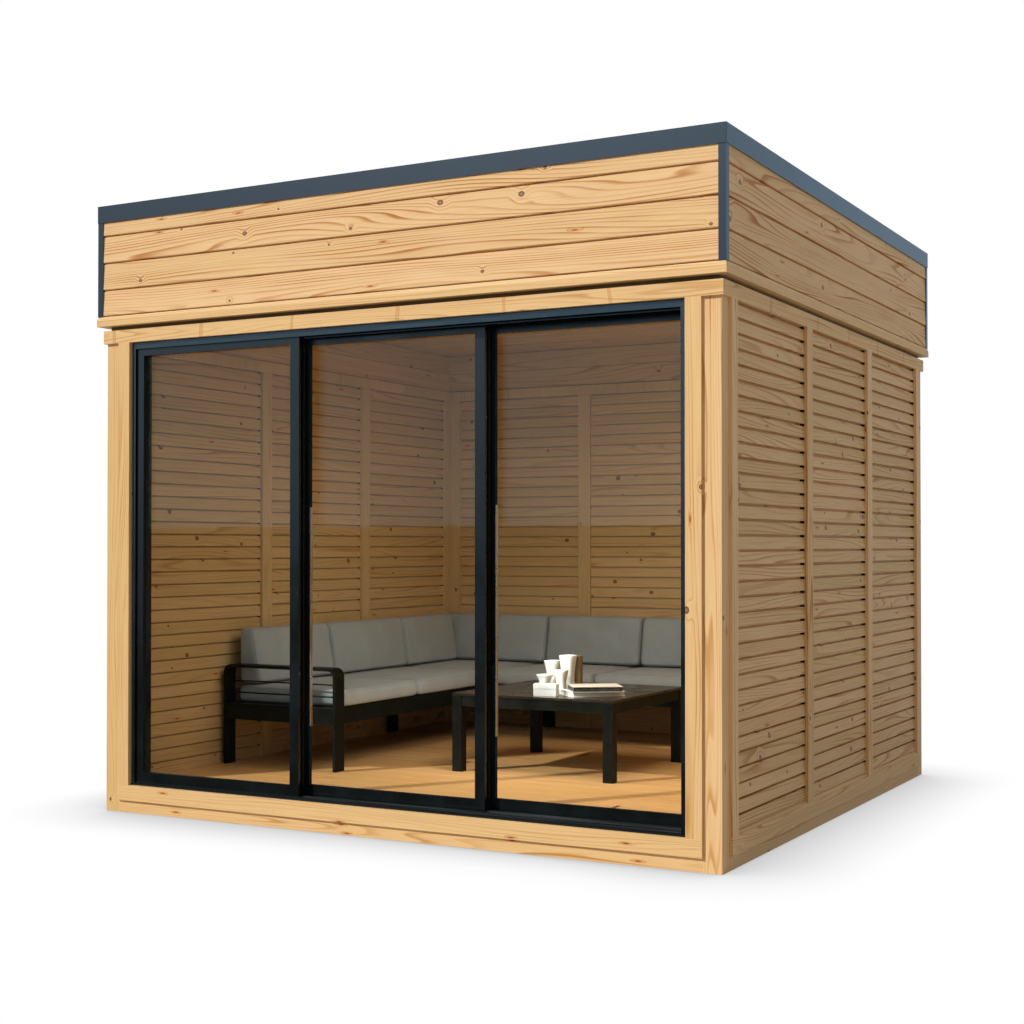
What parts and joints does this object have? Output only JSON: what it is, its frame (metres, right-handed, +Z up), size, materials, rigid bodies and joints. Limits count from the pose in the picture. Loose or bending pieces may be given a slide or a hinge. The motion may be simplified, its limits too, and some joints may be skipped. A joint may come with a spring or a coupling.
{
  "type": "garden office pod",
  "caption": "Square timber garden room with boarded walls, a flat roof behind a boarded parapet, sliding glass front and a furnished room",
  "frame": {"origin": "on the ground, at the centre of the footprint of the corner posts", "axes": "+Z up, the glazed front faces -Y, +X to the right seen from the front"},
  "size_m": [3.276, 3.196, 2.955],
  "materials": {
    "clear_pine": "oiled softwood with small knots",
    "pine_boards": "oiled softwood lapped boards",
    "base_timber": "oiled softwood beam",
    "floor_timber": "sawn softwood",
    "deck_boards": "oiled floor boards",
    "inner_timber": "clear lacquered softwood",
    "ceiling_board": "smooth board",
    "wall_core": "rigid foam insulation",
    "capping_metal": "satin grey-blue coated sheet",
    "roof_board": "board and insulation",
    "roof_sheet": "matt rubber sheet",
    "door_metal": "satin dark grey powder coat",
    "door_glass": "clear double glazing",
    "sofa_metal": "satin black flat bar",
    "cushion_fabric": "light grey woven cover",
    "table_black": "satin black",
    "white_ceramic": "white glaze",
    "book_paper": "white paper and card"
  },
  "bodies": {
    "root": {"base_beams": "base_timber", "floor_joists": "floor_timber", "floor_deck": "deck_boards", "corner_posts": "clear_pine", "bottom_rails": "clear_pine", "door_stiles": "clear_pine", "door_lining": "inner_timber", "left_wall_stiles": "clear_pine", "left_wall_boards": "pine_boards", "right_wall_stiles": "clear_pine", "right_wall_boards": "pine_boards", "back_wall_stiles": "clear_pine", "back_wall_boards": "pine_boards", "wall_cores": "wall_core", "lining_frames": "inner_timber", "lining_boards": "inner_timber", "head_beams": "clear_pine", "roof_packers": "base_timber", "ledgers": "clear_pine", "parapet_walls": "pine_boards", "roof_box_lining": "inner_timber", "corner_trims": "capping_metal", "cappings": "capping_metal", "ceiling": "ceiling_board", "roof_joists": "floor_timber", "roof_deck": "roof_board", "roof_membrane": "roof_sheet", "door_head": "door_metal", "door_jambs": "door_metal", "door_sill": "door_metal", "sofa_bases": "sofa_metal", "sofa_arms": "sofa_metal", "sofa_legs": "sofa_metal", "seat_cushions": "cushion_fabric", "back_cushions": "cushion_fabric", "table_top": "table_black", "table_frame": "table_black", "table_ornaments": "white_ceramic", "books": "book_paper"},
    "left_leaf": {"left_leaf_frame": "door_metal", "left_leaf_glass": "door_glass"},
    "middle_leaf": {"middle_leaf_frame": "door_metal", "middle_leaf_glass": "door_glass"},
    "right_leaf": {"right_leaf_frame": "door_metal", "right_leaf_glass": "door_glass"}
  },
  "joints": [
    {"name": "left_leaf_slide", "type": "slide", "parent": "root", "child": "left_leaf", "axis": [1, 0, 0], "range_m": [0, 1.888]},
    {"name": "middle_leaf_slide", "type": "slide", "parent": "root", "child": "middle_leaf", "axis": [1, 0, 0], "range_m": [-0.944, 0.944]},
    {"name": "right_leaf_slide", "type": "slide", "parent": "root", "child": "right_leaf", "axis": [1, 0, 0], "range_m": [-1.888, 0]}
  ]
}
